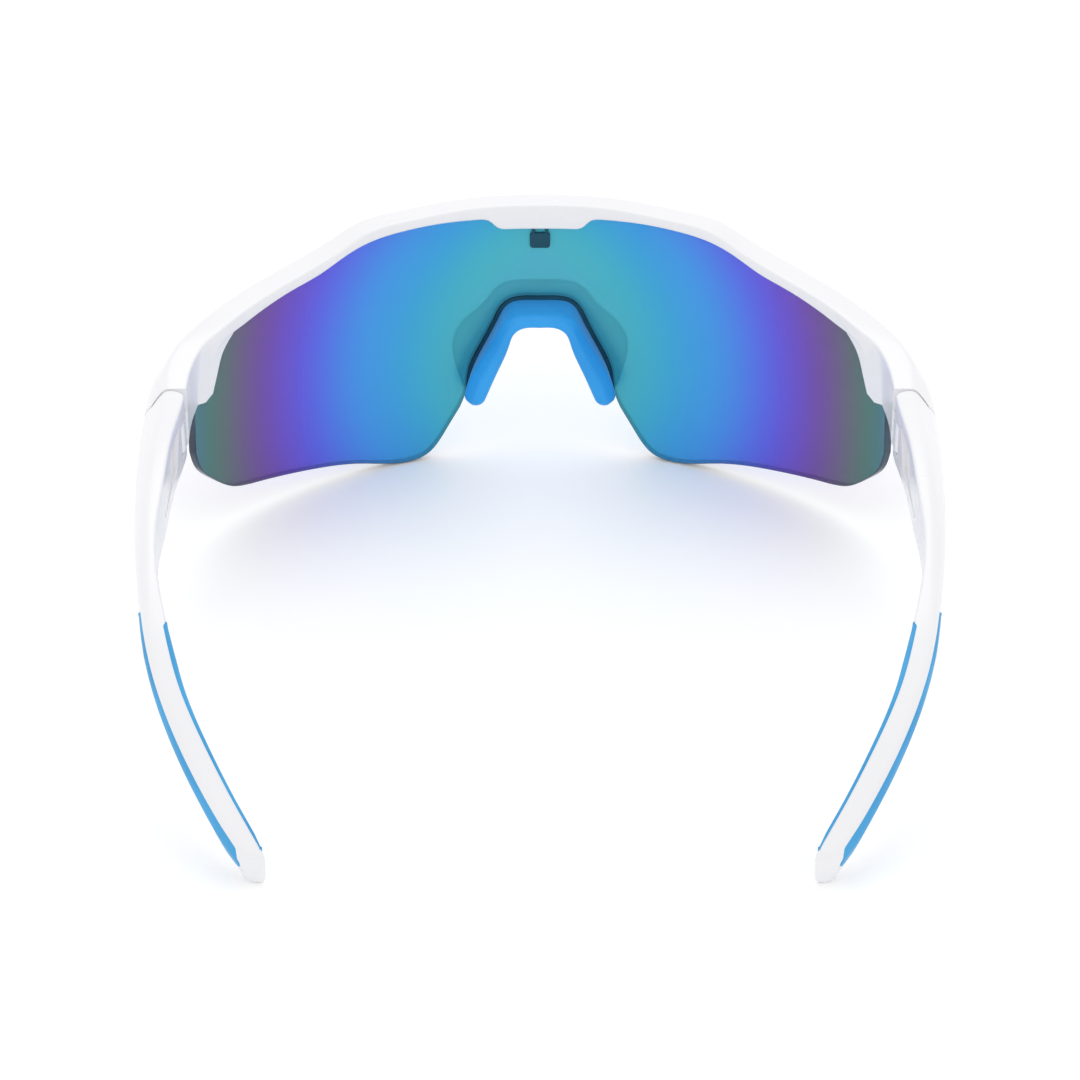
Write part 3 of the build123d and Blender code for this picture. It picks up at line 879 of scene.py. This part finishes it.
def make_pad():
    """The soft saddle, lofted along its arch from foot to foot."""
    back_inner = pad_rail(PAD_BACK_INNER, PAD_BACK)
    back_outer = pad_rail(PAD_BACK_OUTER, PAD_BACK)
    crease = back_outer + PAD_CREASE * (back_inner - back_outer)
    rails = [pad_rail(PAD_FRONT_OUTER, PAD_FRONT), pad_rail(PAD_FRONT_INNER, PAD_FRONT),
             back_inner, crease, back_outer - PAD_SLOPE * INWARD]
    sections = [rounded(np.array(corners), PAD_RADII, 5) for corners in zip(*rails)]
    pad = loft("nose_saddle", sections, start_radius=PAD_FOOT, end_radius=PAD_FOOT)
    smooth(pad, radians(50))
    place_piece(pad, "pad", "front", "nose_pad")


make_pad()

# ---------------------------------------------------------------- temples and grips
# (y, inner x, top outer x, belly x, top z, bottom z)
TEMPLE = [(-25.2, 66.5, 70.3, 74.4, 38.6, 25.3),
          (-21.2, 66.7, 70.3, 74.5, 38.5, 25.2),
          (-9.2, 67.9, 71.0, 74.5, 38.0, 25.2),
          (5.8, 68.5, 71.3, 74.0, 36.2, 24.9),
          (16.8, 68.9, 71.0, 73.3, 34.2, 25.0),
          (26.8, 68.1, 70.3, 72.2, 31.7, 24.1),
          (39.3, 65.4, 69.3, 70.2, 27.5, 19.9),
          (49.7, 62.5, 66.6, 67.4, 22.9, 15.5),
          (59.9, 57.8, 62.2, 63.0, 17.3, 10.2),
          (70.1, 51.7, 56.2, 57.0, 10.8, 4.5),
          (74.8, 48.5, 52.7, 53.6, 7.6, 1.2),
          (78.1, 46.3, 49.7, 50.7, 5.2, -0.75)]
TEMPLE_RADII = (0.9, 1.3, 1.6, 0.9, 0.7)
TIP_RADII = (1.7, 1.3, 1.5, 1.0, 1.0)
TIP_FROM = 55  # the corners grow from TEMPLE_RADII to TIP_RADII past this y
TIP_RADIUS = 1.5
TEMPLE_SECTIONS = 150
# The hollow in the inner face: (y, z)
POCKET = [(-16.4, 35.9), (5.1, 34.0), (5.1, 28.6), (-12.4, 28.0)]
POCKET_FLOOR_X = 69.7
POCKET_DEPTH = 10.0
POCKET_CORNER = 1.0


def temple_sizes(places):
    """The temple's six sizes at each y in places."""
    table = np.array(TEMPLE)
    dense = spline(table, np.linspace(0, 1, 400))
    return np.stack([np.interp(places, dense[:, 0], dense[:, k]) for k in range(6)], axis=1)


def round_pocket():
    """The pocket's outline with rounded corners, as (y, z)."""
    corners = np.array([(y, z, 0) for y, z in POCKET])
    return [(y, z) for y, z, _ in rounded(corners, [POCKET_CORNER] * len(POCKET), 6)]


def temple_body(side, sign):
    """The whole arm, with its front end still square and its corners growing to the tip."""
    flip = np.array([sign, 1, 1])
    end = TEMPLE[-1][0] - TIP_RADIUS
    sections = []
    for sizes in temple_sizes(np.linspace(TEMPLE[0][0], end, TEMPLE_SECTIONS)):
        change = np.clip((sizes[0] - TIP_FROM) / (end - TIP_FROM), 0, 1)
        radii = (1 - change) * np.array(TEMPLE_RADII) + change * np.array(TIP_RADII)
        sections.append(rounded(block_corners(*sizes), radii) * flip)
    return loft(f"{side}_arm", sections, end_radius=TIP_RADIUS)


def barrel_point(x, sign, turn):
    """A point on the barrel's round front, from its inboard side outward."""
    return x - sign * BARREL_RADIUS * cos(turn), HINGE_Y - BARREL_RADIUS * sin(turn)


def front_cut(x, sign):
    """Everything in front of the hinge but the barrel and the stop outboard of it."""
    wide = sign * CUT_WIDE
    stop_y = FRAME_END_Y + SEAM_GAP
    keep = [barrel_point(x, sign, turn) for turn in np.linspace(0, pi, 33)]
    keep = [point for point in keep if (point[0] - x) * sign <= 0 or point[1] < stop_y]
    edge = np.sqrt(BARREL_RADIUS**2 - (stop_y - HINGE_Y) ** 2)
    corners = [(x - wide, HINGE_Y)] + keep
    corners += [(x + sign * edge, stop_y), (x + wide, stop_y)]
    corners += [(x + wide, CUT_FRONT), (x - wide, CUT_FRONT)]
    return upright("front", corners, 0, CUT_HIGH)


def tongue_slot(x, sign):
    """The slot that the frame's tongue turns in, open toward the front and inboard."""
    wide = sign * CUT_WIDE
    bend = [(x + sign * BARREL_RADIUS * cos(turn), HINGE_Y + BARREL_RADIUS * sin(turn))
            for turn in np.linspace(0, pi / 2, 17)]
    slot = [(x + sign * BARREL_RADIUS, CUT_FRONT)] + bend
    slot += [(x - wide, HINGE_Y + BARREL_RADIUS), (x - wide, CUT_FRONT)]
    return upright("slot", slot, TONGUE_LOW - SLOT_GAP, TONGUE_HIGH + SLOT_GAP)


def make_temple(side, sign):
    temple = temple_body(side, sign)
    x = sign * HINGE_X
    hole = circle(x, HINGE_Y, SCREW_HOLE)
    head = circle(x, HINGE_Y, SCREW_HEAD_RADIUS)

    def pocket_place(point, end):
        return sign * (POCKET_FLOOR_X - POCKET_DEPTH * end), *point

    combine(temple, front_cut(x, sign), "DIFFERENCE")
    combine(temple, tongue_slot(x, sign), "DIFFERENCE")
    combine(temple, upright("hole", hole, 0, SCREW_TOP), "DIFFERENCE")
    combine(temple, upright("head", head, 0, SCREW_HEAD_HIGH), "DIFFERENCE")
    combine(temple, prism("pocket", round_pocket(), pocket_place), "DIFFERENCE")
    smooth(temple)
    place_piece(temple, "frame", f"{side}_arm", f"{side}_temple")


# Where the rubber strips run along the temple: (start y, end y)
OUTER_GRIP = (34.0, 76.6)
INNER_GRIP = (38.4, 76.1)
OUTER_GRIP_UPPER = (0.18, 0.08)  # shares of the temple's height, down from its top
GRIP_LOWER = 0.72  # share of the temple's height where both grips end
GRIP_PROUD = 0.3
GRIP_BEDDED = 1.1
GRIP_LAP = (0.9, 0.1)  # the inner grip laps over the top edge by this much, start and end
GRIP_DROP = 1.1  # the inner grip's bed starts this far under its top
GRIP_ROUNDING = 0.9  # length of a grip's rounded end
GRIP_LEAST = 0.3  # share of its width left at the very end
GRIP_EDGE = 0.25  # the proud side is this much lower along its edges
GRIP_SECTIONS = 120
GRIP_CROWDING = 0.12  # draws the sections toward the two ends
GROOVE = 0.2
GRIP_RADII = (0.25, 0.3, 0.15, 0.2, 0.15, 0.3, 0.25)
OUTER_RADII = (0.1, *GRIP_RADII, 0.1)
INNER_RADII = (0.2, *GRIP_RADII, 0.1, 0.1)


def grooved(face_at, out, upper, lower, lift, groove):
    """A strip's proud side, from its upper edge down, with a shallow groove along it."""
    shares = (0, 0.12, 0.36, 0.45, 0.54, 0.88, 1)
    edge = lift - GRIP_EDGE
    heights = (edge, lift, lift, lift - groove, lift, lift, edge)
    places = [upper + share * (lower - upper) for share in shares]
    return [(face_at(z) + out * height, z) for z, height in zip(places, heights)]


def outer_grip_corners(sizes, lift, groove, share, width):
    """A section of the outer strip, which narrows toward the middle of its face."""
    _, _, outer, belly, top, bottom = sizes
    first, last = OUTER_GRIP_UPPER
    high = first + share * (last - first)
    middle = top - 0.5 * (high + GRIP_LOWER) * (top - bottom)
    half = 0.5 * width * (GRIP_LOWER - high) * (top - bottom)
    upper, lower = middle + half, middle - half
    belly_z = top - BELLY_SHARE * (top - bottom)

    def face_at(z):
        return np.interp(z, (bottom, belly_z, top), (belly - FOOT_INSET, belly, outer))

    proud = grooved(face_at, 1, upper, lower, lift, groove)
    return [(face_at(upper) - GRIP_BEDDED, upper), *proud, (face_at(lower) - GRIP_BEDDED, lower)]


def inner_grip_corners(sizes, lift, groove, share, width):
    """A section of the inner strip, which starts at the temple's top edge."""
    _, inside, _, _, top, bottom = sizes
    edge = top + lift / 2
    lower = edge - width * GRIP_LOWER * (top - bottom)
    bed = inside + GRIP_BEDDED
    lap = width * (GRIP_LAP[0] + share * (GRIP_LAP[1] - GRIP_LAP[0]))
    proud = grooved(lambda z: inside, -1, edge, lower, lift, groove)
    return [(inside + lap, edge), *proud, (bed, lower), (bed, max(lower + 0.1, edge - GRIP_DROP))]


def make_grip(side, sign, kind, span, corners_at, radii):
    """A rubber strip bedded in one side of the temple; it fades out toward its ends."""
    flip = np.array([sign, 1, 1])
    start, end = span
    ease = np.linspace(0, 1, GRIP_SECTIONS)
    places = start + (end - start) * (ease - GRIP_CROWDING * np.sin(2 * pi * ease))
    sections = []
    for sizes in temple_sizes(places):
        share = (sizes[0] - start) / (end - start)
        from_end = min(sizes[0] - start, end - sizes[0], GRIP_ROUNDING) / GRIP_ROUNDING
        width = max(GRIP_LEAST, np.sqrt(1 - (1 - from_end) ** 2))
        lift = GRIP_PROUD * min(1, 0.2 + 4 * share, 0.3 + 12 * (1 - share))
        groove = GROOVE * min(1, 5 * share, 5 * (1 - share))
        corners = [(x, sizes[0], z) for x, z in corners_at(sizes, lift, groove, share, width)]
        sections.append(rounded(np.array(corners), radii, 3) * flip)
    grip = loft(f"{side}_{kind}_strip", sections, start_radius=0.4, end_radius=0.5)
    smooth(grip, radians(40))
    place_piece(grip, "grip", f"{side}_arm", f"{side}_{kind}_grip")


for side, sign in SIDES.items():
    make_temple(side, sign)
    make_grip(side, sign, "outer", OUTER_GRIP, outer_grip_corners, OUTER_RADII)
    make_grip(side, sign, "inner", INNER_GRIP, inner_grip_corners, INNER_RADII)
    finish_node(f"{side}_hinge_screw", "screw", 0.05)
    finish_node(f"{side}_hinge_insert", "insert", 0.05)
    finish_node(f"{side}_hinge_cover", "frame", 0.1)


# ---------------------------------------------------------------- camera
CAMERA_ELEVATION = radians(32)
CAMERA_DISTANCE = 0.800
VIEW_WIDTH = 0.2097  # metres across the picture at the target
TARGET = Vector((0, -0.0330, 0.0004))
SENSOR_WIDTH = 36


def add_camera():
    data = bpy.data.cameras.new("camera")
    data.sensor_width = SENSOR_WIDTH
    data.lens = SENSOR_WIDTH * CAMERA_DISTANCE / VIEW_WIDTH
    data.clip_start = 0.01
    camera = bpy.data.objects.new("camera", data)
    outward = Vector((0, cos(CAMERA_ELEVATION), sin(CAMERA_ELEVATION)))
    camera.location = TARGET + CAMERA_DISTANCE * outward
    camera.rotation_euler = outward.to_track_quat("Z", "Y").to_euler()
    bpy.context.collection.objects.link(camera)
    bpy.context.scene.camera = camera


add_camera()


# ---------------------------------------------------------------- studio
FLOOR_HALF = 3000
FLOOR_SHADE = 0.97
FLOOR_GLOW = 0.07  # lightens the shadow under the glasses
WHITE = (1, 1, 1)
WORLD_STRENGTH = 0.99
KEY_PLACE = (0, -0.6, 1.1)
KEY_SIZE = 0.8
KEY_POWER = 1.7


def add_floor():
    half = FLOOR_HALF
    corners = [(-half, -half, 0), (half, -half, 0), (half, half, 0), (-half, half, 0)]
    floor = new_mesh("floor", corners, [(0, 1, 2, 3)])
    material, _, _, shader = new_material("floor_white")
    shader.inputs["Base Color"].default_value = (FLOOR_SHADE, FLOOR_SHADE, FLOOR_SHADE, 1)
    shader.inputs["Roughness"].default_value = 0.4
    shader.inputs["Emission Color"].default_value = (*WHITE, 1)
    shader.inputs["Emission Strength"].default_value = FLOOR_GLOW
    floor.data.materials.append(material)


def add_key_lamp():
    """One large soft lamp in front of the glasses, aimed at the origin."""
    data = bpy.data.lights.new("key", "AREA")
    data.shape = "DISK"
    data.size = KEY_SIZE
    data.energy = KEY_POWER
    data.color = WHITE
    lamp = bpy.data.objects.new("key", data)
    lamp.location = KEY_PLACE
    lamp.rotation_euler = Vector(KEY_PLACE).to_track_quat("Z", "Y").to_euler()
    bpy.context.collection.objects.link(lamp)


def add_world():
    world = bpy.data.worlds.new("studio")
    world.use_nodes = True
    background = world.node_tree.nodes["Background"]
    background.inputs["Color"].default_value = (*WHITE, 1)
    background.inputs["Strength"].default_value = WORLD_STRENGTH
    bpy.context.scene.world = world


add_floor()
add_world()
add_key_lamp()
bpy.context.scene.view_settings.view_transform = "Standard"
